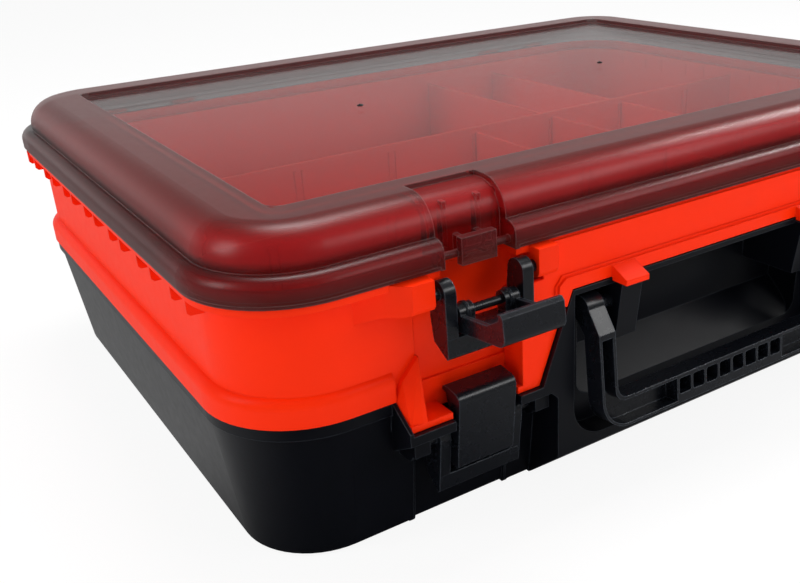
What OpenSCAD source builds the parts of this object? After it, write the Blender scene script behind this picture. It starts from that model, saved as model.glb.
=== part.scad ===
// Two-stage tackle case: deep black tub, red tray that is its lid, smoke lid.
// Origin: centre of the tub's underside. +X right, +Y to the hinges, +Z up.
// Units are millimetres.

/* [Case] */
// outer width over the lid's lower bead
lid_w = 476; // [450:2:500]
// outer depth over the lid's lower bead
lid_d = 356; // [340:2:380]
// height of the tub's rim at the sides
base_h = 68; // [66:1:74]
// height of the red tray from the tub's rim to its own rim
tray_h = 55; // [53:1:60]
// outer corner radius at the lid's lower bead
corner_r = 44; // [40:1:52]
// wall thickness of the moulded shells
wall_t = 3; // [2.6:0.1:3.2]

/* [Latches] */
// distance from the middle to each latch's middle
latch_x = 132.5; // [130:0.5:136]
// radius of the levers' stub pins
pin_r = 2.5; // [2.2:0.1:2.8]
// radius of the hooks' cross rods
rod_r = 1.8; // [1.5:0.1:2]
// lean of the lower levers along the drafted wall, degrees
lever_lean = 8; // [7:0.5:9]
// lean of the closed lower hooks at rest, degrees
hook_lean = 6; // [5:0.5:8]
// how far the open upper hooks are swung out at rest, degrees
hook_open = 82; // [76:1:88]

/* [Handle] */
// outer width of the carrying handle
handle_w = 162; // [160:1:164]
// distance from the handle's pivot to the bottom of its grip
handle_drop = 56.5; // [54:0.5:58]
// lean of the hanging handle out of its pocket, degrees
handle_lean = 6.3; // [5:0.1:8]
// number of ribs in the grip's lattice
lattice_n = 9; // [7:1:10]

/* [Hinges] */
// distance from the case's side to each hinge's middle
hinge_in = 88; // [80:2:96]
// radius of the hinge pins
hinge_r = 2; // [1.8:0.1:2.2]

/* [Interior] */
// distance between the slots for the cross dividers
slot_pitch = 60; // [56:1:60]
// thickness of the removable cross dividers
div_t = 1.8; // [1.6:0.1:2]

/* [Hidden] */
$fn = 48;
cr = corner_r;
cy = 2.7;
run = 0.06;
gap = 0.3;
// rim levels
z1 = base_h;
z2 = base_h + tray_h;
zt = base_h - 10;
zc = base_h + 31;
zl = z2 + 0.4;
// footprints: tub rim, tray flange, tray wall
bw = lid_w - 11.2;
bd = lid_d - 17.4;
draft = 8.6;
fw = lid_w - 9.6;
fd = lid_d - 15.8;
tw = lid_w - 18;
td = lid_d - 21;
y_lid = -lid_d/2;
y_base = cy - bd/2;
y_wall = cy - td/2;
y_skin = y_lid + 0.3;
y_block = y_lid - 2;
// latch lines
up_y = y_lid - 0.2;
up_z = z2 - 8.2;
lo_y = y_lid + 9;
lo_z = base_h - 21.5;
rod_dy = -1.5;
rod_dz = -9.5;
lev_w = 21;
lev_h = 26.7;
hook_w = 14.3;
hook_h = 29;
lr_y = lo_y + rod_dy*cos(lever_lean) - rod_dz*sin(lever_lean);
lr_z = lo_z + rod_dy*sin(lever_lean) + rod_dz*cos(lever_lean);
stub = 30;
ear_in = 24.5;
ear_out = 34.5;
ear_low = 27;
step_x = 19.2;
shelf_x = 36.2;
// handle
hh = handle_w/2;
hp_y = y_lid + 2;
hp_z = base_h + 19;
h_front = -12;
h_back = -2;
arm = 9;
grip_h = 14.2;
pil_out = hh - arm - 7;
pil_in = pil_out - 12;
pocket_x = hh + 6;
pocket_z = hp_z - 63;
pocket_r = 18;
scoop_x = pocket_x - 11.4;
scoop_z = hp_z - 49;
// hinges
hinge_x = lid_w/2 - hinge_in;
knuckle = 14.6;
th_y = lid_d/2 + 0.4;
th_z = base_h + 0.15;
lh_y = lid_d/2 + 4.4;
lh_z = z2 + 2;
kn_r = 4.8;
// lid profile distances from the window's edge
lid_u = 36.9;
win_w = lid_w - 2*lid_u;
win_d = lid_d - 2*lid_u;
win_r = cr - lid_u;

// ---- helpers ----

// rounded rectangle in the plane
module rr(w, d, r) {
  square([w - 2*r, d], center = true);
  square([w, d - 2*r], center = true);
  for (sx = [-1, 1])
    for (sy = [-1, 1])
      translate([sx*(w/2 - r), sy*(d/2 - r)])
        circle(r = r);
}

// sweeps a profile (distance from the corner's centre, height) round a rounded rectangle
module sweep(w, d, r) {
  for (q = [[1, 1, 0], [-1, 1, 90], [-1, -1, 180], [1, -1, 270]])
    translate([q[0]*(w/2 - r), q[1]*(d/2 - r), 0])
      rotate([0, 0, q[2]])
        rotate_extrude(angle = 90)
          children();
  for (a = [0, 180])
    rotate([0, 0, a]) {
      translate([-(w/2 - r), d/2 - r, 0])
        rotate([90, 0, 90])
          linear_extrude(w - 2*r)
            children();
      translate([w/2 - r, d/2 - r, 0])
        rotate([90, 0, 0])
          linear_extrude(d - 2*r)
            children();
    }
}

// extrudes a (y, z) drawing from x0 to x1
module xbar(x0, x1) {
  translate([x0, 0, 0])
    rotate([90, 0, 90])
      linear_extrude(x1 - x0)
        children();
}

// extrudes an (x, z) drawing from y0 to y1
module yplate(y0, y1) {
  translate([0, y1, 0])
    rotate([90, 0, 0])
      linear_extrude(y1 - y0)
        children();
}

// box from one corner to the other
module box(a, b) {
  translate(a)
    cube([b[0] - a[0], b[1] - a[1], b[2] - a[2]]);
}

// cylinder along x from x0 to x1
module xrod(x0, x1, y, z, r) {
  translate([x0, y, z])
    rotate([0, 90, 0])
      cylinder(r = r, h = x1 - x0);
}

module both() {
  for (m = [0, 1])
    mirror([m, 0, 0])
      children();
}

// ---- tub ----

module base_profile() {
  polygon([[cr - draft - 2, 0], [cr - draft, 1.5], [cr - 1.4, z1 - 6.5], [cr, z1 - 5.7],
    [cr, z1 - gap], [cr - 4, z1 - gap], [cr - wall_t - 1.6, z1 - 7],
    [cr - draft - wall_t, wall_t], [cr - draft - wall_t - 2, wall_t], [cr - draft - wall_t - 2, 0]]);
}

// outline of the raised middle of the tub's front, seen from the front
module block_outline(t) {
  polygon([[-96 + t, 0], [-96 + t, zt - 8], [-104 + 1.3*t, zt - gap], [-87.7 + 1.1*t, zc - gap - t],
    [87.7 - 1.1*t, zc - gap - t], [104 - 1.3*t, zt - gap], [96 - t, zt - 8], [96 - t, 0]]);
}

// pocket for the handle, seen from the front
module pocket_outline(t) {
  px = pocket_x + t;
  translate([-px + pocket_r, pocket_z - t])
    square([2*(px - pocket_r), zc - 2.8 - pocket_z + 2*t]);
  translate([-px, pocket_z - t + pocket_r])
    square([2*px, zc - 2.8 - pocket_z + 2*t - pocket_r]);
  for (s = [-1, 1])
    translate([s*(px - pocket_r), pocket_z - t + pocket_r])
      circle(r = pocket_r);
}

// finger scoop behind the pocket, seen from the front
module scoop_outline(t) {
  px = scoop_x + t;
  translate([-px + 8, scoop_z - t])
    square([2*px - 16, zc - 2.8 - scoop_z + 2*t]);
  translate([-px, scoop_z + 8 - t])
    square([2*px, zc - 2.8 - scoop_z - 8 + 2*t]);
  for (s = [-1, 1])
    translate([s*(px - 8), scoop_z + 8 - t])
      circle(r = 8);
}

module scoop_side(t) {
  polygon([[y_block - 1, scoop_z - t], [y_block + 12, scoop_z - t], [y_block + 30 + t, scoop_z + 16 - t],
    [y_block + 30 + t, zc], [y_block - 1, zc]]);
}

module front_block() {
  difference() {
    union() {
      // shell
      difference() {
        intersection() {
          yplate(y_block, y_block + 34)
            block_outline(0);
          xbar(-110, 110)
            polygon([[y_block, zc], [y_block, 19], [y_base + draft - 2, 1.5], [y_base + draft, 0],
              [y_block + 34, 0], [y_block + 34, zc]]);
        }
        intersection() {
          yplate(y_block + 2, y_block + 31)
            block_outline(wall_t);
          xbar(-110, 110)
            polygon([[y_block + wall_t, zc], [y_block + wall_t, 20.5], [y_base + draft + 1, wall_t],
              [y_block + 31, wall_t], [y_block + 31, zc]]);
        }
        box([-90, y_block + 28, wall_t], [90, y_block + 40, z1 - 6]);
      }
      // walls of the pocket and the scoop
      intersection() {
        union() {
          yplate(y_block + 0.5, y_block + 12 + wall_t)
            pocket_outline(wall_t);
          intersection() {
            yplate(y_block + 0.5, y_block + 33)
              scoop_outline(wall_t);
            xbar(-scoop_x - 10, scoop_x + 10)
              scoop_side(wall_t);
          }
        }
        yplate(y_block, y_block + 34)
          block_outline(0);
      }
    }
    yplate(y_block - 1, y_block + 12)
      pocket_outline(0);
    intersection() {
      yplate(y_block - 1, y_block + 30)
        scoop_outline(0);
      xbar(-scoop_x - 10, scoop_x + 10)
        scoop_side(0);
    }
  }
  // pillars beside the scoop, carrying the handle
  both()
    difference() {
      xbar(pil_in, pil_out)
        polygon([[hp_y - 9, zc - 1.5], [hp_y - 5.5, hp_z - 17], [y_block + 30.5, hp_z - 17],
          [y_block + 30.5, zc - 1.5]]);
      xrod(hh - arm - 12.2, pil_out + 1, hp_y, hp_z, 3 + run);
    }
}

// set-back wall, flange and ears of one lower latch
module base_tower() {
  x0 = -latch_x - 27.5;
  x1 = -latch_x + 22.5;
  yb = y_base + draft;
  // set-back wall
  xbar(x0, x1)
    polygon([[yb + 3.4, 0], [yb + 1.8, 1.5], [yb - 4.9, zt - gap], [yb - 1.9, zt - gap], [yb + 4.8, wall_t],
      [yb + 8, wall_t], [yb + 8, 0]]);
  // returns at its sides
  for (x = [x0 - 1.5, x1 - 1])
    xbar(x, x + 2.5)
      polygon([[yb + 1.2, 0], [yb + 0.2, 1.5], [yb - 6, zt - gap], [yb - 1.9, zt - gap], [yb + 6, 0]]);
  // flange under the red tray, set back behind the hook
  box([-latch_x - shelf_x - 2, y_block, zt - 4.6], [-latch_x - 16.5, yb - 5, zt - gap]);
  box([-latch_x + 16.5, y_block, zt - 4.6], [-latch_x + 34, yb - 5, zt - gap]);
  box([-latch_x - 17, lr_y + 6.5, zt - 4.6], [-latch_x + 17, yb - 3, zt - gap]);
  // cheek that rises from the flange to the rim
  xbar(-latch_x - shelf_x - 2, -latch_x - shelf_x - gap)
    polygon([[y_base + 1, z1 - gap], [y_base - 0.3, z1 - gap], [y_block, zt + 1.2], [y_block, zt - 4.6],
      [y_base + 2.5, zt - 14]]);
  // ears for the lever's pins
  for (s = [-1, 1])
    difference() {
      xbar(-latch_x + (s < 0 ? -ear_out : ear_low), -latch_x + (s < 0 ? -ear_low : ear_out)) {
        translate([y_lid + 2, lo_z])
          square([13, zt - 4 - lo_z]);
        translate([lo_y, lo_z])
          circle(r = 5.5);
        translate([y_lid + 2, lo_z - 2])
          square([13, 4]);
        translate([lo_y, lo_z - 5.5])
          square([7, 9]);
      }
      xrod(-latch_x - stub - 0.6, -latch_x + stub + 0.6, lo_y, lo_z, pin_r + run);
    }
}

module base_knuckles() {
  for (x = [hinge_x - 30, hinge_x + 30 - knuckle])
    difference() {
      union() {
        xrod(x, x + knuckle, th_y, th_z, kn_r);
        box([x, th_y - 8, th_z - kn_r], [x + knuckle, th_y, th_z - 0.5]);
      }
      xrod(x - 1, x + 16, th_y, th_z, hinge_r + 0.01);
    }
}

module base_tub() {
  color([0.05, 0.05, 0.06]) {
    difference() {
      union() {
        translate([0, cy, 0])
          sweep(bw, bd, cr)
            base_profile();
        translate([0, cy, 0])
          linear_extrude(wall_t)
            rr(bw - 2*draft - 4, bd - 2*draft - 4, cr - draft - 2);
      }
      both() {
        // set-back walls below the latches, and the rim's drop round them
        box([-latch_x - 27.5, y_lid - 5, -1], [-latch_x + 22.5, y_base + draft + 3.3, z1 + 5]);
        box([-latch_x - 27.5, y_lid - 5, wall_t + 2], [-latch_x + 22.5, y_base + draft + 8, z1 + 5]);
        box([-latch_x - shelf_x - gap, y_lid - 5, zt - gap], [-90, y_base + draft + 8, z1 + 5]);
      }
      box([-93, y_lid - 5, wall_t + 1], [93, y_base + draft + 10, z1 + 5]);
      box([-100, y_lid - 5, zt - 9], [100, y_base + draft + 10, z1 + 5]);
      // the tray's middle knuckles swing here
      both()
        box([hinge_x - 15.4, th_y - 6.4, th_z - 7], [hinge_x + 15.4, th_y + 9, th_z + 5]);
    }
    both()
      base_tower();
    front_block();
    both()
      base_knuckles();
    // closes the wall behind the tray's knuckles
    both()
      box([hinge_x - 16, th_y - 9.4, z1 - 14], [hinge_x + 16, th_y - 6.5, z1 - gap]);
  }
}

// ---- tray ----

module flange_profile() {
  translate([cr - 5.2, z1])
    square([5.2, 8]);
  intersection() {
    translate([cr - 5, z1 + 8])
      circle(r = 5);
    translate([cr - 5.2, z1 + 7])
      square([5.2, 8]);
  }
}

// the tray's front skin between the latches, seen from the front
module skin_outline(t) {
  zs = up_z - lev_h - 4;
  for (m = [0, 1])
    mirror([m, 0])
      polygon([[-latch_x + step_x + t, zt + t], [-104.6 - t, zt + t], [-88.1 - t, zc + t], [1, zc + t],
        [1, z2 - 1], [-latch_x + ear_in + t, z2 - 1], [-latch_x + ear_in + t, zs], [-latch_x + step_x + t, zs - t]]);
}

// ear block that carries one of the upper lever's pins, its outer side blended into the wall
module tray_ear(x, spread) {
  w = ear_out - ear_in;
  intersection() {
    translate([0, 0, zt])
      linear_extrude(z2 - gap - zt)
        polygon([[x, y_lid - 4.5], [x + w, y_lid - 4.5], [x + w, y_wall + 1], [x - spread, y_wall + 1]]);
    xbar(x - spread - 1, x + w + 1) {
      polygon([[y_lid - 4.5, z2], [y_lid - 4.5, up_z - 2.5], [y_lid - 3.5, up_z - 4.2], [y_lid - 1.5, up_z - 5],
        [y_lid + 5, up_z - 5.6], [y_wall + 1, up_z - 10], [y_wall + 1, z2]]);
    }
  }
}

// red band that turns down and forward from the flange to the shelf under the latch
module tray_swoop() {
  hull() {
    yplate(y_base - 0.8, y_wall + 1)
      polygon([[-latch_x - shelf_x, z1 + 0.3], [-latch_x - shelf_x + 3, z1 + 8], [-latch_x - ear_in - 0.5, z1 + 17],
        [-latch_x - ear_in - 0.5, z1 + 0.3]]);
    yplate(y_skin, y_skin + 0.5)
      polygon([[-latch_x - shelf_x, zt], [-latch_x - shelf_x + 5.5, zt + 3], [-latch_x - ear_in - 4, zt + 3],
        [-latch_x - ear_in - 4, zt]]);
  }
}

module tray_front() {
  difference() {
    yplate(y_skin, y_wall + 0.5)
      skin_outline(0);
    yplate(y_skin + 2.6, y_wall + 1)
      skin_outline(2.6);
    both()
      box([-latch_x + ear_in - 1, y_lid - 3, up_z - 8], [-latch_x + ear_in + 6, y_lid + 9, up_z + 8]);
  }
  both() {
    difference() {
      union() {
        tray_ear(-latch_x - ear_out, 17);
        tray_ear(-latch_x + ear_in, 0);
      }
      xrod(-latch_x - stub - 0.5, -latch_x + stub + 0.5, up_y, up_z, pin_r + run);
    }
    // shelf under the latch, open where the hook passes
    difference() {
      box([-latch_x - shelf_x, y_skin, zt], [-latch_x + step_x + 1, y_wall + 2.4, zt + 3]);
      box([-latch_x - 16.5, y_lid - 5, zt - 1], [-latch_x + 16.5, y_wall, zt + 5]);
    }
    tray_swoop();
    // back of the latch recess below the tray's floor
    box([-latch_x - shelf_x, y_wall, zt], [-latch_x + ear_in + 2, y_wall + 2.4, z1 + 4]);
    // catch for the lower hook
    box([-latch_x - 8, lr_y + 2.7, zt], [-latch_x + 8, y_wall + 1, lr_z + hook_h - 0.6]);
    // tabs over the handle's ends
    xbar(pil_in + 0.5, pil_out + 1.5)
      polygon([[hp_y - 13.2, zc - 1.2], [hp_y - 13.2, zc + 1.3], [y_skin - 1, zc + 6], [y_skin + 1, zc + 6],
        [y_skin + 1, zc + 0.2], [y_block - gap, zc + 0.2], [y_block - gap, zc - 1.2]]);
  }
  // ledge along the middle band, with rounded ends
  for (t = [0, 1.2])
    yplate(y_skin - 2 + t, y_skin + 1)
      polygon([[-88.1, zc + 0.3], [-91, zc - 7], [-95.5 - t, zc - 5], [-95 - t, zc + 3], [-91.5 - t, zc + 6 + t],
        [91.5 + t, zc + 6 + t], [95 + t, zc + 3], [95.5 + t, zc - 5], [91, zc - 7], [88.1, zc + 0.3]]);
}

module tray_knuckles() {
  // on the tray's own hinge
  difference() {
    union() {
      xrod(hinge_x - knuckle - gap, hinge_x + knuckle + gap, th_y, th_z, kn_r);
      box([hinge_x - knuckle - gap, th_y - 8, th_z + 0.2], [hinge_x + knuckle + gap, th_y, th_z + kn_r]);
    }
    xrod(hinge_x - 20, hinge_x + 20, th_y, th_z, hinge_r + run);
  }
  // for the lid's hinge
  for (x = [hinge_x - 30, hinge_x + 30 - knuckle])
    difference() {
      union() {
        xrod(x, x + knuckle, lh_y, lh_z, kn_r);
        box([x, lid_d/2 - 4, lh_z - kn_r], [x + knuckle, lh_y, lh_z - kn_r + 2.6]);
      }
      xrod(x - 1, x + 16, lh_y, lh_z, hinge_r + 0.01);
    }
}

module slot_ribs(x, y0, y1, z0, z3) {
  for (s = [-1, 1]) {
    box([x + s*2.2 - 0.8, y0, z0], [x + s*2.2 + 0.8, y0 + 2.5, z3]);
    box([x + s*2.2 - 0.8, y1 - 2.5, z0], [x + s*2.2 + 0.8, y1, z3]);
  }
}

// bays between the front wall, the two long walls and the back wall
wall_y = [-86, 17];
bay = [[y_block + 37.5, wall_y[0]], [wall_y[0] + 2, wall_y[1]], [wall_y[1] + 2, y_wall + td - wall_t]];

module tray_inside() {
  zi = z1 + 2.5;
  for (y = wall_y)
    box([-tw/2 + 1, y, zi], [tw/2 - 1, y + 2, z2 - 5]);
  for (k = [-1:1])
    slot_ribs(k*slot_pitch, y_block + 36, y_block + 38.5, zi, z2 - 9);
  for (k = [-3:3])
    for (y = wall_y)
      slot_ribs(k*slot_pitch, y - 1, y + 3, zi, z2 - 9);
}

module tray_body() {
  color([0.9, 0.12, 0.05]) {
    difference() {
      union() {
        translate([0, cy, 0]) {
          // walls and floor
          translate([0, 0, z1])
            linear_extrude(z2 - z1)
              difference() {
                rr(tw, td, cr - 4);
                rr(tw - 2*wall_t, td - 2*wall_t, cr - 4 - wall_t);
              }
          translate([0, 0, z1 + 0.5])
            linear_extrude(2.5)
              rr(tw - 2, td - 2, cr - 5);
          // flange on the tub's rim
          sweep(fw, fd, cr)
            flange_profile();
        }
        // rim under the lid and the upstand inside it
        translate([0, 0, z2 - 3])
          linear_extrude(3)
            difference() {
              rr(lid_w - 4, lid_d - 4, cr - 2);
              translate([0, cy])
                rr(tw - 2*wall_t, td - 2*wall_t, cr - 4 - wall_t);
            }
        translate([0, 0, z2 - 1])
          linear_extrude(6.5)
            difference() {
              rr(lid_w - 9, lid_d - 9, cr - 4.5);
              rr(lid_w - 13, lid_d - 13, cr - 6.5);
            }
        // pairs of gussets under the rim
        both()
          for (k = [-2.5:1:2.5])
            for (e = [-9, 9])
              translate([0, 4 + 48*k + e - 4.5, 0])
                yplate(0, 9)
                  polygon([[-lid_w/2 + 3.5, z2 - 2], [-lid_w/2 + 3.5, z2 - 4.5], [-tw/2 + 0.5, z2 - 12],
                    [-tw/2 + 0.5, z2 - 2]]);
      }
      // the front is built apart
      box([-latch_x - shelf_x, y_lid - 5, z1 - 5], [latch_x + shelf_x, y_wall, z1 + 20]);
      box([-110, y_lid - 5, z1 - 5], [110, y_block + 35, zc + 0.4]);
      both() {
        box([-latch_x - 18, y_lid - 5, z2 - 4], [-latch_x + 18, y_wall + 0.1, z2 + 9]);
        box([-latch_x - 20, y_lid - 5, z2], [-latch_x + 20, y_wall + 4, z2 + 9]);
        box([-latch_x - ear_in - 0.5, y_lid - 5, z1 - 1], [-latch_x + ear_in, y_wall + 1.3, z2 - 3]);
        // clearance round the tub's knuckles and the lid's middle knuckle
        box([hinge_x - 31, th_y - 6, z1 - 1], [hinge_x - 15, th_y + 9, z1 + 6]);
        box([hinge_x + 15, th_y - 6, z1 - 1], [hinge_x + 31, th_y + 9, z1 + 6]);
        box([hinge_x - 15.4, lh_y - 5.6, z2 - 4], [hinge_x + 15.4, lh_y + 9, z2 + 9]);
      }
    }
    // inset wall and roof behind the tub's raised middle
    box([-112.5, y_block + 35, z1 + 0.5], [112.5, y_block + 37.5, zc + 3]);
    both()
      box([-112.5, y_wall + 0.5, z1 + 0.5], [-110, y_block + 36, zc + 3]);
    box([-112.5, y_wall + 0.5, zc + 0.4], [112.5, y_block + 36, zc + 3]);
    tray_front();
    tray_inside();
    both()
      tray_knuckles();
  }
}

// ---- lid ----

// section of the lid from the window's edge (0) to the lower bead (lid_u), by height
module lid_section() {
  // frame
  translate([0, zl + 24.2])
    square([16, 2.4]);
  translate([0, zl + 21.9])
    square([2.4, 3.5]);
  // upper bead
  intersection() {
    difference() {
      translate([16, zl + 12.1])
        circle(r = 14.5);
      translate([16, zl + 12.1])
        circle(r = 12.1);
    }
    translate([16, zl + 8.9])
      square([20, 20]);
  }
  translate([28, zl + 8.9])
    square([4, 2.4]);
  // lower bead
  intersection() {
    difference() {
      translate([lid_u - 5.5, zl + 5.8])
        circle(r = 5.5);
      translate([lid_u - 5.5, zl + 5.8])
        circle(r = 3.1);
    }
    translate([lid_u - 5.5, zl + 5.8])
      square([6, 6]);
  }
  translate([lid_u - 2.4, zl + 1.6])
    square([2.4, 4.3]);
  translate([lid_u - 2.8, zl])
    square([2, 2]);
}

// region inside the lid's outer face
module lid_solid() {
  translate([0, zl])
    square([16, 26.6]);
  translate([0, zl])
    square([30.5, 12.1]);
  intersection() {
    translate([16, zl + 12.1])
      circle(r = 14.5);
    translate([0, zl])
      square([40, 40]);
  }
  translate([0, zl])
    square([lid_u, 5.8]);
  translate([lid_u - 5.5, zl + 5.8])
    circle(r = 5.5);
}

// face of the latch notch, set in from the beads
module notch_section(t) {
  intersection() {
    difference() {
      translate([14, zl + 12.1])
        circle(r = 12.3);
      translate([14, zl + 12.1])
        circle(r = 12.3 - t);
    }
    translate([14, zl + 12.1])
      square([20, 20]);
  }
  translate([26.3 - t, zl + gap])
    square([t, 12]);
  translate([8, zl + 24.4 - t])
    square([6.2, t]);
}

module notch_solid() {
  translate([12, zl - 2])
    square([14.3, 14.2]);
  intersection() {
    translate([14, zl + 12.1])
      circle(r = 12.3);
    translate([8, zl - 2])
      square([40, 40]);
  }
  translate([0, zl - 2])
    square([14, 26.4]);
}

// draws a lid section on the front side
module at_front(x0, x1) {
  translate([x0, -win_d/2, 0])
    rotate([90, 0, 90])
      linear_extrude(x1 - x0)
        mirror([1, 0])
          children();
}

module lid_notch() {
  at_front(-latch_x - 18, -latch_x + 18)
    notch_section(2.4);
  for (x = [-latch_x - 18.6, -latch_x + 16.6])
    at_front(x, x + 2)
      difference() {
        lid_solid();
        translate([-1, zl - 1])
          square([24.5, 23.5]);
      }
  // ribs behind the notch's face
  for (x = [-latch_x - 9, -latch_x + 7])
    box([x, -win_d/2 - 24.2, zl + 3], [x + 2, -win_d/2 - 20, zl + 22]);
  // catch on its short rod
  box([-latch_x - 8.2, y_lid + 1, zl - 1], [-latch_x + 8.2, y_lid + 4.6, zl + 10.3]);
  box([-latch_x - 6, y_lid + 4, zl + 1], [-latch_x - 3.6, -win_d/2 - 26, zl + 9]);
  box([-latch_x + 3.6, y_lid + 4, zl + 1], [-latch_x + 6, -win_d/2 - 26, zl + 9]);
  xrod(-latch_x - 17, -latch_x + 17, y_lid + 5, zl + 3.4, 1.6);
}

module lid_knuckle() {
  difference() {
    union() {
      xrod(hinge_x - knuckle - gap, hinge_x + knuckle + gap, lh_y, lh_z, kn_r);
      box([hinge_x - knuckle - gap, lid_d/2 - 3, lh_z - 1.2], [hinge_x + knuckle + gap, lh_y, lh_z + kn_r]);
    }
    xrod(hinge_x - 20, hinge_x + 20, lh_y, lh_z, hinge_r + run);
  }
}

module lid_shell() {
  color([0.35, 0.28, 0.28, 0.55]) {
    difference() {
      union() {
        sweep(lid_w, lid_d, cr)
          translate([win_r, 0])
            lid_section();
        // window
        translate([0, 0, zl + 21.9])
          linear_extrude(2.1)
            rr(win_w + 2, win_d + 2, win_r + 1);
      }
      both()
        difference() {
          box([-latch_x - 16.6, y_lid - 3, zl - 2], [-latch_x + 16.6, -win_d/2 - 9, zl + 30]);
          at_front(-latch_x - 20, -latch_x + 20)
            notch_solid();
        }
      both()
        at_front(-latch_x - 16.6, -latch_x + 16.6)
          difference() {
            translate([27, zl - 2])
              square([20, 16]);
            translate([0, zl - 2])
              square([26.3, 30]);
          }
      // room for the tray's knuckles
      both()
        for (x = [hinge_x - 31, hinge_x + 15])
          box([x, lh_y - 5.3, lh_z - 6], [x + 16, lh_y + 6, lh_z + 5.3]);
    }
    both()
      lid_notch();
    both()
      lid_knuckle();
  }
}

// ---- latches ----

// lever: two arms with stub pins, a deep plate across the bottom, a cross rod for the hook
module lever_shape() {
  for (s = [0, 1])
    mirror([s, 0, 0]) {
      xbar(lev_w - 5.2, lev_w) {
        circle(r = 5.2);
        polygon([[-5.2, 0], [-5.6, -lev_h + 1], [-4.6, -lev_h], [4.5, -lev_h + 5.1], [6.3, -lev_h + 15.7], [5.2, 0]]);
      }
      xrod(lev_w - 0.1, stub, 0, 0, pin_r);
    }
  box([-lev_w + 1, -5.55, -lev_h + 1], [lev_w - 1, -3, -lev_h + 8.8]);
  xbar(-lev_w + 1, lev_w - 1)
    polygon([[-5.5, -lev_h + 1], [-4.6, -lev_h], [4.5, -lev_h + 5.1], [5, -lev_h + 8.4], [3, -lev_h + 8.4],
      [2.2, -lev_h + 6.4], [-5, -lev_h + 2.8]]);
  xrod(-lev_w + 3, lev_w - 3, rod_dy, rod_dz, rod_r);
}

// hook, upright, with its pivot on the origin
module hook_shape() {
  difference() {
    union() {
      // face with a rounded shoulder, side walls and the lip over the top
      xbar(-hook_w, hook_w)
        polygon([[-7.5, -3.4], [-6.6, -4.6], [-4.7, -4.6], [-4.7, hook_h - 1.2], [-7.5, hook_h - 1.2]]);
      xbar(-hook_w, hook_w)
        intersection() {
          translate([-3.5, hook_h - 1.2])
            circle(r = 4);
          translate([-7.5, hook_h - 1.2])
            square([5, 4]);
        }
      xbar(-hook_w, hook_w)
        polygon([[-4, hook_h], [5.5, hook_h], [5.5, hook_h + 1.6], [4, hook_h + 2.8],
          [-3.6, hook_h + 2.8], [-4, hook_h + 1]]);
      for (s = [0, 1])
        mirror([s, 0, 0]) {
          xbar(hook_w - 2, hook_w)
            polygon([[-5, -4.5], [-5, hook_h + 1], [3.4, hook_h + 1], [-0.5, hook_h - 8], [-0.5, -3], [-3, -4.5]]);
          // knuckles with ribs
          xrod(hook_w - 7, hook_w, 0, 0, 3.6);
          xrod(hook_w - 4.6, hook_w - 3.4, 0, 0, 4.2);
          box([hook_w - 7, -6, -3], [hook_w, 0, 3]);
        }
    }
    xrod(-20, 20, 0, 0, rod_r + run);
  }
}

module upper_lever(s) {
  color([0.06, 0.06, 0.07])
    translate([s*latch_x, up_y, up_z])
      lever_shape();
}

module lower_lever(s) {
  color([0.06, 0.06, 0.07])
    translate([s*latch_x, lo_y, lo_z])
      rotate([lever_lean, 0, 0])
        lever_shape();
}

module upper_hook(s) {
  color([0.07, 0.07, 0.08])
    translate([s*latch_x, up_y + rod_dy, up_z + rod_dz])
      rotate([hook_open, 0, 0])
        hook_shape();
}

module lower_hook(s) {
  color([0.07, 0.07, 0.08])
    translate([s*latch_x, lr_y, lr_z])
      rotate([hook_lean, 0, 0])
        hook_shape();
}

// ---- handle ----

// handle's outline, hanging from its pivot, seen from the front; t moves it inward
module handle_outline(t, r) {
  w = hh - t;
  zb = -handle_drop + t;
  translate([-w + r, zb])
    square([2*(w - r), grip_h]);
  translate([-w, zb + r])
    square([2*w, handle_drop - 12 - r]);
  for (s = [-1, 1])
    translate([s*(w - r), zb + r])
      circle(r = r);
}

// inside of the handle's loop
module loop_outline(t) {
  w = hh - arm - t;
  zb = -handle_drop + grip_h + t;
  translate([-w + 6, zb])
    square([2*w - 12, 80]);
  translate([-w, zb + 6])
    square([2*w, 80]);
  for (s = [-1, 1])
    translate([s*(w - 6), zb + 6])
      circle(r = 6);
}

module carry_handle() {
  color([0.06, 0.06, 0.07])
    translate([0, hp_y, hp_z])
      rotate([-handle_lean, 0, 0]) {
        difference() {
          union() {
            // flat loop with rounded corners
            yplate(h_front, h_back)
              difference() {
                handle_outline(0, 15);
                loop_outline(0);
              }
            both()
              xbar(hh - arm, hh)
                polygon([[h_front, -20], [h_front, -10], [-3.6, 4.8], [0, 4], [4, -4], [h_back, -12], [h_back, -20]]);
            both()
              xrod(hh - arm, hh, 0, 0, 6);
          }
          // channel round the arms and the ends of the grip
          difference() {
            yplate(h_front - 1, h_back - 2.4)
              difference() {
                handle_outline(1.3, 13.7);
                loop_outline(-1.5);
              }
            box([-lattice_x, h_front - 2, -handle_drop - 1], [lattice_x, h_back, 0]);
            box([-hh, h_front - 2, -12.6], [hh, h_back, 10]);
          }
          // lattice windows
          for (k = [0:lattice_n - 2])
            yplate(h_front - 1, h_back - 2.4)
              lattice_window(-lattice_x + lattice_t + k*lattice_p, lattice_p - lattice_t);
        }
        both()
          xrod(hh - arm - 11.5, hh - arm + 1, 0, 0, 3);
      }
}

// one window of the grip's lattice, with rounded corners
module lattice_window(x, w) {
  z0 = -handle_drop + 4.4;
  h = grip_h - 6.4;
  translate([x + 1.2, z0])
    square([w - 2.4, h]);
  translate([x, z0 + 1.2])
    square([w, h - 2.4]);
  for (i = [x + 1.2, x + w - 1.2])
    for (j = [z0 + 1.2, z0 + h - 1.2])
      translate([i, j])
        circle(r = 1.2, $fn = 16);
}
lattice_p = 8.9;
lattice_t = 1.3;
lattice_x = lattice_p*(lattice_n - 1)/2 + lattice_t/2;

// ---- hinge pins and dividers ----

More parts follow.
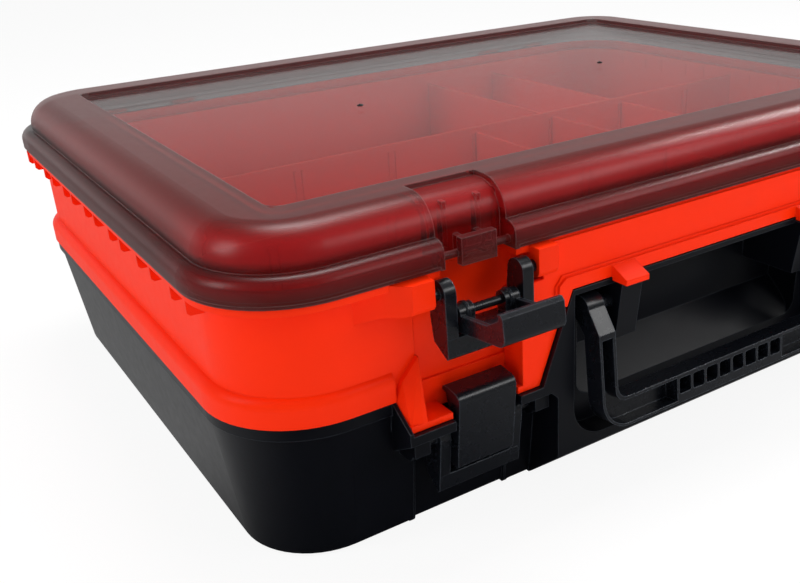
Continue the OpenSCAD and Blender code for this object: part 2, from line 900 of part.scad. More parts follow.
module tray_hinge_pin(s) {
  color([0.7, 0.71, 0.73])
    xrod(s*hinge_x - 30, s*hinge_x + 30, th_y, th_z, hinge_r);
}

module lid_hinge_pin(s) {
  color([0.7, 0.71, 0.73])
    xrod(s*hinge_x - 30, s*hinge_x + 30, lh_y, lh_z, hinge_r);
}

// cross divider in slot k of bay b
module divider(k, b) {
  color([0.85, 0.1, 0.04])
    box([k*slot_pitch - div_t/2, bay[b][0] + 0.5, z1 + 3.3],
      [k*slot_pitch + div_t/2, bay[b][1] - 0.5, z2 - 8]);
}

base_tub();
tray_body();
lid_shell();
upper_lever(-1);  // upper_lever_left
upper_lever(1);  // upper_lever_right
upper_hook(-1);  // upper_hook_left
upper_hook(1);  // upper_hook_right
lower_lever(-1);  // lower_lever_left
lower_lever(1);  // lower_lever_right
lower_hook(-1);  // lower_hook_left
lower_hook(1);  // lower_hook_right
carry_handle();
tray_hinge_pin(-1);  // tray_hinge_pin_left
tray_hinge_pin(1);  // tray_hinge_pin_right
lid_hinge_pin(-1);  // lid_hinge_pin_left
lid_hinge_pin(1);  // lid_hinge_pin_right
divider(0, 1);  // divider_1
divider(1, 1);  // divider_2
divider(2, 1);  // divider_3
divider(1, 2);  // divider_4
divider(2, 2);  // divider_5
divider(1, 0);  // divider_6
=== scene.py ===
"""Looks for the two-stage tackle case: a black tub, a red-orange tray and a smoke lid.

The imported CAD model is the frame. This file gives every node its finish, adds the small moulded
details that the solids leave out, and sets up the stage, the lamps and the camera. Metres.
"""

import math

import bmesh
import bpy
from mathutils import Matrix, Vector


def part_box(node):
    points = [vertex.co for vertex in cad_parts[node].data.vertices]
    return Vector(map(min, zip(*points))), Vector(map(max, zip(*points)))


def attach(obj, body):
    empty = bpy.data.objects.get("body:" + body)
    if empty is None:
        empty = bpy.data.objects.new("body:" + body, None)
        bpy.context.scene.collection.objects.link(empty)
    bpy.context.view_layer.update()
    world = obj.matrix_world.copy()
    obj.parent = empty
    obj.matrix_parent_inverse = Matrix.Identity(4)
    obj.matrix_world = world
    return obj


bl_info = {
    "name": "Two-stage tackle case",
    "version": (1, 0, 0),
    "blender": (4, 5, 0),
    "location": "3D View > Sidebar > Tackle case",
    "description": "Finishes, moulded details and stage for the tackle case",
    "category": "Object",
}

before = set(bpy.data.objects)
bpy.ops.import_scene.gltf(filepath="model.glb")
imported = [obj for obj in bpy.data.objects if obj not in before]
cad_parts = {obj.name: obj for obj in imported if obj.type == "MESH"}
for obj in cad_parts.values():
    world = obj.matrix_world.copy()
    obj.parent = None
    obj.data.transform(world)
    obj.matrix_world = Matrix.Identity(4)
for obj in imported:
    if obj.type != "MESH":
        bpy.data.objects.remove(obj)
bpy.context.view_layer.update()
MM = 0.001


# ---- the case's nodes by kind, and sizes that match the solids ----

LATCHES = [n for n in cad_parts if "lever" in n or "hook" in n]
PINS = [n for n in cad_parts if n.endswith(("pin_left", "pin_right"))]
DIVIDERS = [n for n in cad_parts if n.startswith("divider")]

LID_FRAME = 36.9 * MM          # from the lid's outline in to its window
LID_DEPTH = 356 * MM           # without latches and hinges
LID_RISE = 26.6 * MM           # from the lid's lip to its highest face
WINDOW_TOP = 2.6 * MM          # below the lid's highest face
WINDOW_MARGIN = 0.1 * MM       # the window's finish stops this far inside its border
CATCH_PROUD = 0.3 * MM         # only the catch blocks stand further forward than this

GATE_MARKS = ((-86 * MM, 2 * MM), (86 * MM, 2 * MM))
GATE_TURNS = 24
GATE_PROFILE = (               # radius and height in mm: a low ring round a nub
    (0, -0.4), (1.7, -0.4), (1.7, 0.2), (1.4, 0.34), (1.1, 0.2),
    (0.8, 0.2), (0.6, 0.6), (0.3, 0.8), (0, 0.85))

WEB_PAIRS = 7
WEB_PITCH = 43.6 * MM
WEB_FIRST = -122 * MM
WEB_APART = 18 * MM            # the two webs of a pair
WEB_THICK = 1.8 * MM
WEB_INSET = 2.6 * MM           # from the lid's side to the webs' outer edge
WEB_REACH = 9.8 * MM           # from the webs' outer edge in to the tray's wall
WEB_CHAMFER = 1.2 * MM
WEB_HEIGHTS = (112.2 * MM, 112.6 * MM, 113.8 * MM, 120.4 * MM)


# ---- finishes; grains, reliefs and patches are lengths ----

COLOUR_PATCH = 20 * MM
GLOSS_PATCH = 6 * MM
NOISE_ROUGHNESS = 0.55
MOULD_GRAIN, MOULD_RELIEF = 0.9 * MM, 0.02 * MM
# painted highlight: the paler colour that edges are blended towards, a highlight painted into the
# base colour
EDGE_HIGHLIGHT_COLOUR = (0.085, 0.1, 0.125)
EDGE_AGREEMENT = (0.985, 0.8)  # the normals' dot product where the painted edge highlight starts and where it is full

LID_GRAIN, LID_RELIEF = 0.6 * MM, 0.03 * MM
LID_GLOSS = 0.32
# painted highlight on the lid's edges: its colour and strength
LID_EDGE_HIGHLIGHT_COLOUR, LID_EDGE_HIGHLIGHT_STRENGTH = (0.26, 0.17, 0.17), 0.75
LID_EDGE_ROUNDING = 1.2        # times the edge radius of the other pieces
LID_FACING_BLEND = 0.3
FRAME_GLOSS_PATCH, FRAME_ROUGHNESS = 4 * MM, (0.3, 0.36)
WINDOW_GLOSS_PATCH, WINDOW_ROUGHNESS = 30 * MM, (0.05, 0.09)
FRAME_THICKENING, WINDOW_THICKENING = 0.3, 0.1    # opacity gained at a grazing view
WINDOW_TINT = 0.35             # times the smoke colour
PAINTED_GLOW_FADE = (-160 * MM, -100 * MM)     # the red light of the tray, painted into the beads as a glow, is full in front of these y and fades behind
BEHIND_SMOKE_SHARE, BEHIND_PAINTED_GLOW_SHARE = 1.2, 0.15          # shares of smoke colour and painted glow colour in the beads behind, where less glow is painted
CATCH_COLOUR, CATCH_OPACITY = (0.02, 0.012, 0.012), 0.92
PAINTED_BEAD_STOPS = (                 # mm above the lid's lip, which colour, and how much of it: a painted highlight on the lip, painted glow on the lower bead, painted shade in the groove, painted glow on the upper bead, smoke colour on the flat top
    (0, "flat", 1.6), (2.2, "flat", 1.0), (6.8, "painted_glow", 0.5), (10.0, "painted_glow", 0.35),
    (11.3, "painted_glow", 0.08), (12.8, "painted_glow", 0.12), (15.5, "painted_glow", 0.9), (21.5, "painted_glow", 1.0),
    (26.2, "flat", 1.0))

STEEL_COLOUR = (0.6, 0.6, 0.62)
STEEL_SPREAD, STEEL_PATCH = 0.1, 2 * MM
STEEL_GLOSS_PATCH, STEEL_ROUGHNESS = 0.6 * MM, (0.2, 0.4)
STEEL_GRAIN, STEEL_RELIEF = 0.4 * MM, 0.004 * MM
GATE_MARK_COLOUR, GATE_MARK_ROUGHNESS = (0.012, 0.006, 0.006), (0.25, 0.35)


# ---- stage ----

FLOOR_HALF = 6                 # half the length of the floor's side
PAPER_COLOUR = (0.9, 0.9, 0.9)
PAPER_EMISSION = 0.9           # how much of the floor the camera sees as plain white
ACROSS = (1, -1, 0)            # from the floor's back left to its front right
LEFT_SHEET = (-0.22, -0.04)    # where along ACROSS the left sheet ends
FRONT_SHEET = (0.05, 0.2)      # and where the front sheet begins
LEFT_LEVEL, GAP_LEVEL = 0.42, 0.03
SKY_BEHIND = (-0.1, 0.7)       # reach of a heading along the camera's, from dim to white
SKY_LOW = (0.16, 0.46)         # height of a heading, from white to dim
SKY_FLAG = 0.5                 # the sky's least level in gloss, times the flag level
CAMERA_HEADING = Vector((0.539, 0.842, 0))
UP = Vector((0, 0, 1))

LAMP_TARGET = (0, 0, 0.08)
LAMPS = (                      # name, place, size, the setting of its power, and times that
    ("overhead", (0.1, 0.25, 1.25), (0.6, 0.3), "key_power", 1.0),
    ("left_softbox", (-1.2, 0.1, 0.75), (0.3, 0.6), "fill_power", 1.0),
    ("right_softbox", (1.25, -0.05, 1.0), (0.22, 0.6), "fill_power", 2.0),
    ("front_softbox", (0.7, -1.05, 0.85), (0.9, 0.4), "fill_power", 1.1))

SENSOR_WIDTH = 36              # mm
CLIP_END = 50
PHOTO_SIZE = (800, 583)
PHOTO_CENTRE = (457.70, 319.26)     # where the camera's axis meets the photograph, in pixels


# ---- sizes and colours that a user would change ----

class CaseFinish(bpy.types.PropertyGroup):
    """Colours and surface finish of the case."""

    tub_colour: bpy.props.FloatVectorProperty(
        name="Tub colour", description="Black polymer of the tub", subtype="COLOR",
        size=3, min=0, max=1, default=(0.0032, 0.0038, 0.0066))
    tray_colour: bpy.props.FloatVectorProperty(
        name="Tray colour", description="Red-orange polymer of the tray", subtype="COLOR",
        size=3, min=0, max=1, default=(1.0, 0.028, 0.0015))
    latch_colour: bpy.props.FloatVectorProperty(
        name="Latch colour", description="Black polymer of latches and handle", subtype="COLOR",
        size=3, min=0, max=1, default=(0.0055, 0.0066, 0.0098))
    smoke_colour: bpy.props.FloatVectorProperty(
        name="Smoke colour", description="Tint of the translucent lid on its flat frame",
        subtype="COLOR", size=3, min=0, max=1, default=(0.075, 0.010, 0.009))
    # painted glow: the red light that the tray sends through the lid, painted into the beads'
    # colour
    painted_glow_colour: bpy.props.FloatVectorProperty(
        name="Glow colour", description="Tint of the lid's beads, where the tray shines through",
        subtype="COLOR", size=3, min=0, max=1, default=(0.31, 0.006, 0.008))
    lid_opacity: bpy.props.FloatProperty(
        name="Lid opacity", description="Opacity of one wall of the lid's satin frame",
        subtype="FACTOR", min=0, max=1, default=0.62)
    window_opacity: bpy.props.FloatProperty(
        name="Window opacity", description="Opacity of one face of the polished window",
        subtype="FACTOR", min=0, max=1, default=0.27)
    polymer_gloss: bpy.props.FloatProperty(
        name="Polymer gloss", description="How strongly the opaque polymers mirror the studio",
        subtype="FACTOR", min=0, max=1, default=0.2)
    edge_radius: bpy.props.FloatProperty(
        name="Edge radius", description="Rounding of moulded edges", unit="LENGTH",
        min=0, max=0.003, default=0.0007)


class CaseStage(bpy.types.PropertyGroup):
    """Camera and light."""

    camera_place: bpy.props.FloatVectorProperty(
        name="Camera place", description="Where the camera stands", subtype="TRANSLATION",
        size=3, default=(-0.32523, -0.460045, 0.257607))
    camera_azimuth: bpy.props.FloatProperty(
        name="Azimuth", description="Heading of the camera round the case", subtype="ANGLE",
        unit="ROTATION", default=math.radians(-32.6093))
    camera_elevation: bpy.props.FloatProperty(
        name="Elevation", description="How far the camera looks down", subtype="ANGLE",
        unit="ROTATION", default=math.radians(24.9853))
    camera_roll: bpy.props.FloatProperty(
        name="Roll", description="Turn of the camera about its own axis", subtype="ANGLE",
        unit="ROTATION", default=math.radians(-2.7276))
    lens: bpy.props.FloatProperty(
        name="Lens", description="Focal length on a 36 mm wide sensor", min=10, max=200,
        default=42.6804)
    key_power: bpy.props.FloatProperty(
        name="Key power", description="Power of the overhead softbox", unit="POWER",
        min=0, default=11.0)
    fill_power: bpy.props.FloatProperty(
        name="Fill power", description="Power that the left, right and front softboxes share in",
        unit="POWER", min=0, default=5.0)
    sky_level: bpy.props.FloatProperty(
        name="Sky level", description="Strength of the even light from all round",
        min=0, max=2, default=0.5)
    flag_level: bpy.props.FloatProperty(
        name="Flag level", description="What gloss mirrors of the dark front and top of the studio",
        min=0, max=1, default=0.26)


def finish():
    return bpy.context.scene.tackle_finish


def stage_settings():
    return bpy.context.scene.tackle_stage


# ---- shader nodes ----

def empty_tree(owner, output):
    """Clears the nodes of a material or world and adds its output, whose surface is returned."""
    owner.use_nodes = True
    tree = owner.node_tree
    tree.nodes.clear()
    return tree, tree.nodes.new(output).inputs["Surface"]


def new_material(name):
    """An empty node material and its Principled shader."""
    mat = bpy.data.materials.new(name)
    tree, surface = empty_tree(mat, "ShaderNodeOutputMaterial")
    shader = tree.nodes.new("ShaderNodeBsdfPrincipled")
    tree.links.new(shader.outputs["BSDF"], surface)
    return mat, tree, shader


def feed(tree, value, place):
    """Links a socket to an input, or sets a number or a colour on it."""
    if isinstance(value, bpy.types.NodeSocket):
        tree.links.new(value, place)
    else:
        place.default_value = value


def combine(tree, operation, *values):
    """One Math node over sockets and numbers."""
    node = tree.nodes.new("ShaderNodeMath")
    node.operation = operation
    for value, place in zip(values, node.inputs):
        feed(tree, value, place)
    return node.outputs[0]


def blend(tree, kind, mask, at_zero, at_one):
    """From one value ("FLOAT") or colour ("RGBA") to another with the mask."""
    node = tree.nodes.new("ShaderNodeMix")
    node.data_type = kind
    feed(tree, at_zero, node.inputs["A"])
    feed(tree, at_one, node.inputs["B"])
    feed(tree, mask, node.inputs["Factor"])
    return node.outputs["Result"]


def remap(tree, value, start=0.0, end=1.0, low=0.0, high=1.0, smooth=False):
    """Goes from low to high as the value goes from start to end."""
    node = tree.nodes.new("ShaderNodeMapRange")
    if smooth:
        node.interpolation_type = "SMOOTHSTEP"
    for name, number in (("From Min", start), ("From Max", end), ("To Min", low), ("To Max", high)):
        node.inputs[name].default_value = number
    tree.links.new(value, node.inputs["Value"])
    return node.outputs["Result"]


def dot(tree, first, second):
    node = tree.nodes.new("ShaderNodeVectorMath")
    node.operation = "DOT_PRODUCT"
    feed(tree, first, node.inputs[0])
    feed(tree, second, node.inputs[1])
    return node.outputs["Value"]


def slope(tree, vector, direction, span, low, high):
    """Goes smoothly from low to high as the vector's reach along the direction passes the span."""
    return remap(tree, dot(tree, vector, direction), *span, low, high, smooth=True)


def object_coordinates(tree):
    return tree.nodes.new("ShaderNodeTexCoord").outputs["Object"]


def coordinate(tree, axis):
    split = tree.nodes.new("ShaderNodeSeparateXYZ")
    tree.links.new(object_coordinates(tree), split.inputs[0])
    return split.outputs[axis]


def noise(tree, grain, detail=3.0):
    """Noise over the object, with a grain in metres."""
    node = tree.nodes.new("ShaderNodeTexNoise")
    node.inputs["Scale"].default_value = 1.0 / grain
    node.inputs["Detail"].default_value = detail
    node.inputs["Roughness"].default_value = NOISE_ROUGHNESS
    tree.links.new(object_coordinates(tree), node.inputs["Vector"])
    return node.outputs["Fac"]


def ray_mask(tree, *kinds):
    """1 for the kinds of ray named, such as camera rays, and 0 for the others."""
    path = tree.nodes.new("ShaderNodeLightPath")
    mask = path.outputs[kinds[0]]
    for kind in kinds[1:]:
        mask = combine(tree, "MAXIMUM", mask, path.outputs[kind])
    return mask


# ---- materials ----

def opaque(colour):
    return list(colour) + [1]


def shade(colour, factor):
    return tuple(c * factor for c in colour)


def mottled_colour(tree, colour, spread, patch):
    """The colour with slight patches lighter and darker."""
    darker = opaque(shade(colour, 1 - spread))
    lighter = opaque(min(1, c) for c in shade(colour, 1 + spread))
    return blend(tree, "RGBA", noise(tree, patch), darker, lighter)


def uneven_gloss(tree, patch, roughness):
    """Roughness that wanders between two values."""
    low, high = roughness
    return remap(tree, noise(tree, patch), low=low, high=high)


def moulded_normal(tree, shader, grain, relief, radius):
    """Rounded edges with the fine grain of a moulded face. Returns the rounded normal."""
    bevel = tree.nodes.new("ShaderNodeBevel")
    bevel.samples = 4
    bevel.inputs["Radius"].default_value = radius
    bump = tree.nodes.new("ShaderNodeBump")
    bump.inputs["Strength"].default_value = 1.0
    bump.inputs["Distance"].default_value = relief
    tree.links.new(noise(tree, grain, detail=2.0), bump.inputs["Height"])
    tree.links.new(bevel.outputs["Normal"], bump.inputs["Normal"])
    tree.links.new(bump.outputs["Normal"], shader.inputs["Normal"])
    return bevel.outputs["Normal"]


def painted_edge_highlights(tree, colour, rounded, strength, highlight_colour):
    """Paints highlights on edges: blends towards a paler colour where the rounded normal leaves the
    face's.
    """
    face = tree.nodes.new("ShaderNodeNewGeometry").outputs["Normal"]
    edge = remap(tree, dot(tree, rounded, face), *EDGE_AGREEMENT)
    return blend(tree, "RGBA", combine(tree, "MULTIPLY", edge, strength), colour, opaque(highlight_colour))


def polymer(name, colour, roughness, spread=0.08, gloss=1.0, edge_highlight_strength=0.0):
    """Opaque moulded polymer with grain, patches of gloss and rounded edges, with highlights
    painted on the edges when given a strength for them.
    """
    mat, tree, shader = new_material(name)
    shader.inputs["Specular IOR Level"].default_value = finish().polymer_gloss * gloss
    tree.links.new(uneven_gloss(tree, GLOSS_PATCH, roughness), shader.inputs["Roughness"])
    rounded = moulded_normal(tree, shader, MOULD_GRAIN, MOULD_RELIEF, finish().edge_radius)
    base = mottled_colour(tree, colour, spread, COLOUR_PATCH)
    # painted highlight on the edges
    if edge_highlight_strength:
        base = painted_edge_highlights(tree, base, rounded, edge_highlight_strength, EDGE_HIGHLIGHT_COLOUR)
    tree.links.new(base, shader.inputs["Base Color"])
    return mat


def window_mask(tree):
    """1 on the lid's recessed window and 0 on its frame, by place."""
    low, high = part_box("lid_shell")
    sides = []
    for axis, size in (("X", high[0] - low[0]), ("Y", LID_DEPTH)):
        away = combine(tree, "ABSOLUTE", coordinate(tree, axis))
        sides.append(combine(tree, "LESS_THAN", away, size / 2 - LID_FRAME - WINDOW_MARGIN))
    return combine(tree, "MULTIPLY", *sides)


def by_height(tree, stops):
    """A colour that changes with height: a list of heights in metres and the colours there."""
    low, high = stops[0][0], stops[-1][0]
    ramp = tree.nodes.new("ShaderNodeValToRGB")
    elements = ramp.color_ramp.elements
    while len(elements) < len(stops):
        elements.new(0.5)
    for element, (height, _) in zip(elements, stops):
        element.position = (height - low) / (high - low)
    for element, (_, colour) in zip(elements, stops):
        element.color = opaque(colour)
    tree.links.new(remap(tree, coordinate(tree, "Z"), low, high), ramp.inputs["Fac"])
    return ramp.outputs["Color"]


def painted_bead_light(tree, flat, painted_glow):
    """The lid frame's colour by height: painted highlight on the lip, painted glow on the lower
    bead, painted shade in the groove, painted glow on the upper bead, smoke colour on the flat top.
    """
    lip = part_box("lid_shell")[1][2] - LID_RISE
    colours_by_kind = {"flat": flat, "painted_glow": painted_glow}
    return by_height(tree, [(lip + height * MM, shade(colours_by_kind[which_colour], share))
                            for height, which_colour, share in PAINTED_BEAD_STOPS])


def lid_colour_and_painted_light(tree, window, catch):
    """Colours of the frame's beads, with their painted glow, highlight and shade, of the window and
    of the catch blocks.
    """
    flat, painted_glow = finish().smoke_colour, finish().painted_glow_colour
    dim = [f * BEHIND_SMOKE_SHARE + g * BEHIND_PAINTED_GLOW_SHARE for f, g in zip(flat, painted_glow)]
    # painted glow, full on the front beads and fading to less painted glow on those behind
    backward = slope(tree, object_coordinates(tree), (0, 1, 0), PAINTED_GLOW_FADE, 0, 1)
    beads = blend(tree, "RGBA", backward, painted_bead_light(tree, flat, painted_glow), painted_bead_light(tree, flat, dim))
    lid = blend(tree, "RGBA", window, beads, opaque(shade(flat, WINDOW_TINT)))
    return blend(tree, "RGBA", catch, lid, opaque(CATCH_COLOUR))


def lid_alpha(tree, window, catch):
    """Opacity of frame and window, denser at a grazing view, and that of the catch blocks."""
    edge = tree.nodes.new("ShaderNodeLayerWeight")
    edge.inputs["Blend"].default_value = LID_FACING_BLEND
    opacity = blend(tree, "FLOAT", window, finish().lid_opacity, finish().window_opacity)
    gain = blend(tree, "FLOAT", window, FRAME_THICKENING, WINDOW_THICKENING)
    wall = combine(tree, "MULTIPLY_ADD", edge.outputs["Facing"], gain, opacity)
    wall.node.use_clamp = True
    return combine(tree, "MAXIMUM", wall, combine(tree, "MULTIPLY", catch, CATCH_OPACITY))


def smoke_polymer(name):
    """Translucent smoke polymer: a satin frame round a polished window, with painted glow, shade
    and edge highlights in its colour.
    """
    mat, tree, shader = new_material(name)
    window = window_mask(tree)
    catch = combine(tree, "LESS_THAN", coordinate(tree, "Y"), -LID_DEPTH / 2 - CATCH_PROUD)
    satin = uneven_gloss(tree, FRAME_GLOSS_PATCH, FRAME_ROUGHNESS)
    polished = uneven_gloss(tree, WINDOW_GLOSS_PATCH, WINDOW_ROUGHNESS)
    shader.inputs["Specular IOR Level"].default_value = LID_GLOSS
    tree.links.new(blend(tree, "FLOAT", window, satin, polished), shader.inputs["Roughness"])
    tree.links.new(lid_alpha(tree, window, catch), shader.inputs["Alpha"])
    rounded = moulded_normal(tree, shader, LID_GRAIN, LID_RELIEF,
                             finish().edge_radius * LID_EDGE_ROUNDING)
    # painted highlights on the lid's edges, over its colours
    base = painted_edge_highlights(tree, lid_colour_and_painted_light(tree, window, catch), rounded, LID_EDGE_HIGHLIGHT_STRENGTH,
                       LID_EDGE_HIGHLIGHT_COLOUR)
    tree.links.new(base, shader.inputs["Base Color"])
    return mat


def drawn_steel(name):
    """Bright drawn wire with a fine grain."""
    mat, tree, shader = new_material(name)
    shader.inputs["Metallic"].default_value = 1.0
    base = mottled_colour(tree, STEEL_COLOUR, STEEL_SPREAD, STEEL_PATCH)
    tree.links.new(base, shader.inputs["Base Color"])
    rough = uneven_gloss(tree, STEEL_GLOSS_PATCH, STEEL_ROUGHNESS)
    tree.links.new(rough, shader.inputs["Roughness"])
    moulded_normal(tree, shader, STEEL_GRAIN, STEEL_RELIEF, finish().edge_radius / 2)
    return mat


def dress(nodes, material):
    """Gives CAD nodes one material."""
    for name in nodes:
        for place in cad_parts[name].material_slots:
            place.material = material


# ---- moulded details ----

def add_object(name, data):
    thing = bpy.data.objects.new(name, data)
    bpy.context.collection.objects.link(thing)
    return thing


def add_mesh(name, bm):
    """An object of the built mesh, which is freed."""
    mesh = bpy.data.meshes.new(name)
    bm.to_mesh(mesh)
    bm.free()
    return add_object(name, mesh)


def turned(profile, turns):
    """A closed body of revolution about the z axis, from (radius, height) points."""
    bm = bmesh.new()
    angles = [2 * math.pi * k / turns for k in range(turns)]
    rings = []
    for radius, height in profile:
        around = [(radius * math.cos(a), radius * math.sin(a), height) for a in angles]
        rings.append([bm.verts.new(point) for point in (around if radius else around[:1])])
    for lower, upper in zip(rings, rings[1:]):
        for k in range(turns):
            j = (k + 1) % turns
            corners = [lower[k % len(lower)], lower[j % len(lower)],
                       upper[j % len(upper)], upper[k % len(upper)]]
            unique = list(dict.fromkeys(corners))
            if len(unique) > 2:
                bm.faces.new(unique)
    bmesh.ops.recalc_face_normals(bm, faces=bm.faces)
    for face in bm.faces:
        face.smooth = True
    return bm


def gate_marks(material):
    """The two small witness marks where the window's moulding was fed: a ring round a low nub."""
    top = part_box("lid_shell")[1][2] - WINDOW_TOP
    profile = [(radius * MM, height * MM) for radius, height in GATE_PROFILE]
    for side, (x, y) in zip(("left", "right"), GATE_MARKS):
        mark = add_mesh("gate_mark_" + side, turned(profile, GATE_TURNS))
        mark.location = (x, y, top)
        mark.data.materials.append(material)
        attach(mark, "lid")


def web_corners(side, y):
    """One web from the tray's wall out to its rim, as two outlines a web's thickness apart."""
    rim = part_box("lid_shell")[1][0] - WEB_INSET
    wall = rim - WEB_REACH
    foot, turn, chamfer, top = WEB_HEIGHTS
    outline = [(wall, foot), (rim - WEB_CHAMFER, turn), (rim, chamfer), (rim, top), (wall, top)]
    return [[(side * x, y + offset, z) for x, z in outline]
            for offset in (-WEB_THICK / 2, WEB_THICK / 2)]


def rim_webs(material):
    """Pairs of webs that stiffen the tray's rim along its left and right sides."""
    for name, side in (("left", -1), ("right", 1)):
        bm = bmesh.new()
        for pair in range(WEB_PAIRS):
            for offset in (-WEB_APART / 2, WEB_APART / 2):
                y = WEB_FIRST + pair * WEB_PITCH + offset
                near, far = [[bm.verts.new(c) for c in ring] for ring in web_corners(side, y)]
                bm.faces.new(near)
                bm.faces.new(list(reversed(far)))
                for k in range(len(near)):
                    j = (k + 1) % len(near)
                    bm.faces.new((near[j], near[k], far[k], far[j]))
        bmesh.ops.recalc_face_normals(bm, faces=bm.faces)
        piece = add_mesh("rim_webs_" + name, bm)
        piece.data.materials.append(material)
        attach(piece, "tray")


# ---- floor, sky, lamps and camera ----

def floor_material():
    """White to the camera with the case's shadow on it.

    In gloss it is two sheets of paper with a dark gap between them.
    """
    mat = bpy.data.materials.new("floor_white")
    tree, surface = empty_tree(mat, "ShaderNodeOutputMaterial")
    paper = tree.nodes.new("ShaderNodeBsdfDiffuse")
    paper.inputs["Color"].default_value = opaque(PAPER_COLOUR)
    white = tree.nodes.new("ShaderNodeEmission")
    place = object_coordinates(tree)
    left = slope(tree, place, ACROSS, LEFT_SHEET, LEFT_LEVEL, GAP_LEVEL)
    front = slope(tree, place, ACROSS, FRONT_SHEET, GAP_LEVEL, stage_settings().flag_level)
    sheets = combine(tree, "MAXIMUM", left, front)
    camera = ray_mask(tree, "Is Camera Ray")
    tree.links.new(combine(tree, "MAXIMUM", camera, sheets), white.inputs["Strength"])
    mirrored = ray_mask(tree, "Is Glossy Ray", "Is Transmission Ray")
    seen = combine(tree, "MULTIPLY", camera, PAPER_EMISSION)
    mix = tree.nodes.new("ShaderNodeMixShader")
    tree.links.new(combine(tree, "MAXIMUM", seen, mirrored), mix.inputs[0])
    tree.links.new(paper.outputs[0], mix.inputs[1])
    tree.links.new(white.outputs[0], mix.inputs[2])
    tree.links.new(mix.outputs[0], surface)
    return mat


def studio_world():
    """Even light; white to the camera and to gloss behind the case, dim to gloss elsewhere."""
    settings = stage_settings()
    world = bpy.data.worlds.new("studio")
    tree, surface = empty_tree(world, "ShaderNodeOutputWorld")
    light = tree.nodes.new("ShaderNodeBackground")
    light.inputs["Color"].default_value = opaque((1, 1, 1))
    heading = tree.nodes.new("ShaderNodeTexCoord").outputs["Generated"]
    behind = slope(tree, heading, CAMERA_HEADING, SKY_BEHIND, 0, 1)
    low = slope(tree, heading, UP, SKY_LOW, 1, 0)
    white = combine(tree, "MULTIPLY", behind, low)
    gloss = combine(tree, "MAXIMUM", white, settings.flag_level * SKY_FLAG)
    mirrored = ray_mask(tree, "Is Glossy Ray", "Is Transmission Ray")
    level = blend(tree, "FLOAT", mirrored, settings.sky_level, gloss)
    camera = ray_mask(tree, "Is Camera Ray")
    tree.links.new(combine(tree, "MAXIMUM", camera, level), light.inputs["Strength"])
    tree.links.new(light.outputs[0], surface)
    return world


def add_lamp(name, place, size, power):
    """A softbox that faces the case."""
    data = bpy.data.lights.new(name, "AREA")
    data.shape = "RECTANGLE"
    data.size, data.size_y = size
    data.energy = power
    lamp = add_object(name, data)
    lamp.location = place
    away = Vector(place) - Vector(LAMP_TARGET)
    lamp.rotation_euler = away.to_track_quat("Z", "Y").to_euler()


def add_camera(settings):
    """The photograph's camera: place, heading, roll, lens and the shift of its framing."""
    az, el, roll = settings.camera_azimuth, settings.camera_elevation, settings.camera_roll
    back = Vector((math.sin(az) * math.cos(el), -math.cos(az) * math.cos(el), math.sin(el)))
    right = UP.cross(back).normalized()
    up = back.cross(right)
    across = math.cos(roll) * right + math.sin(roll) * up
    upward = -math.sin(roll) * right + math.cos(roll) * up
    width, height = PHOTO_SIZE
    centre_x, centre_y = PHOTO_CENTRE
    data = bpy.data.cameras.new("photo_camera")
    data.sensor_width = SENSOR_WIDTH
    data.lens = settings.lens
    data.shift_x = (width / 2 - centre_x) / width
    data.shift_y = (centre_y - height / 2) / width
    data.clip_end = CLIP_END
    camera = add_object("photo_camera", data)
    rotation = Matrix((across, upward, back)).transposed().to_4x4()
    camera.matrix_world = Matrix.Translation(settings.camera_place) @ rotation
    bpy.context.scene.camera = camera


def build_stage():
    """The floor, the sky, the lamps and the camera."""
    settings = stage_settings()
    scene = bpy.context.scene
    scene.view_settings.view_transform = "Standard"

    bm = bmesh.new()
    bmesh.ops.create_grid(bm, x_segments=1, y_segments=1, size=FLOOR_HALF)
    floor = add_mesh("floor", bm)
    floor.data.materials.append(floor_material())
    scene.world = studio_world()

    for name, place, size, setting, share in LAMPS:
        add_lamp(name, place, size, getattr(settings, setting) * share)
    add_camera(settings)


# ---- operators ----

class StepOperator:
    """What the steps below have in common."""
    bl_options = {"REGISTER", "UNDO"}


class CASE_OT_stage(StepOperator, bpy.types.Operator):
    """Add the floor, the lamps, the sky and the photograph's camera"""
    bl_idname = "tackle.stage"
    bl_label = "Stage"

    def execute(self, context):
        build_stage()
        return {"FINISHED"}


class CASE_OT_tub(StepOperator, bpy.types.Operator):
    """Finish the black tub"""
    bl_idname = "tackle.tub"
    bl_label = "Tub"

    def execute(self, context):
        # the tub's edges get painted highlights
        black = polymer("tub_black", finish().tub_colour, (0.28, 0.38), gloss=1.3,
                        edge_highlight_strength=0.45)
        dress(["base_tub"], black)
        return {"FINISHED"}


class CASE_OT_tray(StepOperator, bpy.types.Operator):
    """Finish the red-orange tray and its dividers, and add the webs under its rim"""
    bl_idname = "tackle.tray"
    bl_label = "Tray"

    def execute(self, context):
        red = polymer("tray_red", finish().tray_colour, (0.32, 0.44), spread=0.03, gloss=0.35)
        dress(["tray_body"] + DIVIDERS, red)
        rim_webs(red)
        return {"FINISHED"}


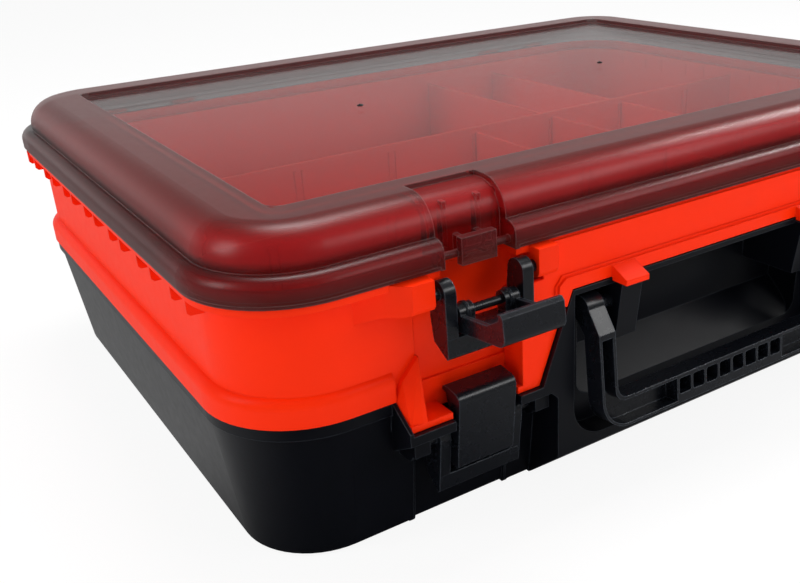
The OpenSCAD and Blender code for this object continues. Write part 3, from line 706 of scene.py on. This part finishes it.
class CASE_OT_lid(StepOperator, bpy.types.Operator):
    """Finish the smoke lid and add its gate marks"""
    bl_idname = "tackle.lid"
    bl_label = "Lid"

    def execute(self, context):
        dress(["lid_shell"], smoke_polymer("lid_smoke"))
        gate_marks(polymer("gate_mark_smoke", GATE_MARK_COLOUR, GATE_MARK_ROUGHNESS))
        return {"FINISHED"}


class CASE_OT_latches(StepOperator, bpy.types.Operator):
    """Finish the levers and hooks of the draw latches and the handle"""
    bl_idname = "tackle.latches"
    bl_label = "Latches and handle"

    def execute(self, context):
        # the edges of latches and handle get strong painted highlights
        black = polymer("latch_black", finish().latch_colour, (0.22, 0.34), gloss=2.4,
                        edge_highlight_strength=0.9)
        dress(LATCHES + ["carry_handle"], black)
        return {"FINISHED"}


class CASE_OT_hinges(StepOperator, bpy.types.Operator):
    """Finish the hinge pins"""
    bl_idname = "tackle.hinges"
    bl_label = "Hinge pins"

    def execute(self, context):
        dress(PINS, drawn_steel("hinge_steel"))
        return {"FINISHED"}


STEPS = (CASE_OT_stage, CASE_OT_tub, CASE_OT_tray, CASE_OT_lid, CASE_OT_latches, CASE_OT_hinges)


class CASE_PT_sidebar(bpy.types.Panel):
    """Lists the steps that dress the case, and their settings"""
    bl_idname = "CASE_PT_sidebar"
    bl_label = "Tackle case"
    bl_space_type = "VIEW_3D"
    bl_region_type = "UI"
    bl_category = "Tackle case"

    def draw(self, context):
        for step in STEPS:
            self.layout.operator(step.bl_idname)
        for group, settings in ((CaseFinish, finish()), (CaseStage, stage_settings())):
            for name in group.__annotations__:
                self.layout.prop(settings, name)


CLASSES = (CaseFinish, CaseStage) + STEPS + (CASE_PT_sidebar,)


def register():
    for cls in CLASSES:
        bpy.utils.register_class(cls)
    bpy.types.Scene.tackle_finish = bpy.props.PointerProperty(type=CaseFinish)
    bpy.types.Scene.tackle_stage = bpy.props.PointerProperty(type=CaseStage)


def unregister():
    del bpy.types.Scene.tackle_stage
    del bpy.types.Scene.tackle_finish
    for cls in reversed(CLASSES):
        bpy.utils.unregister_class(cls)


def main():
    register()
    for step in STEPS:
        group, name = step.bl_idname.split(".")
        getattr(getattr(bpy.ops, group), name)()


if __name__ == "__main__":
    main()
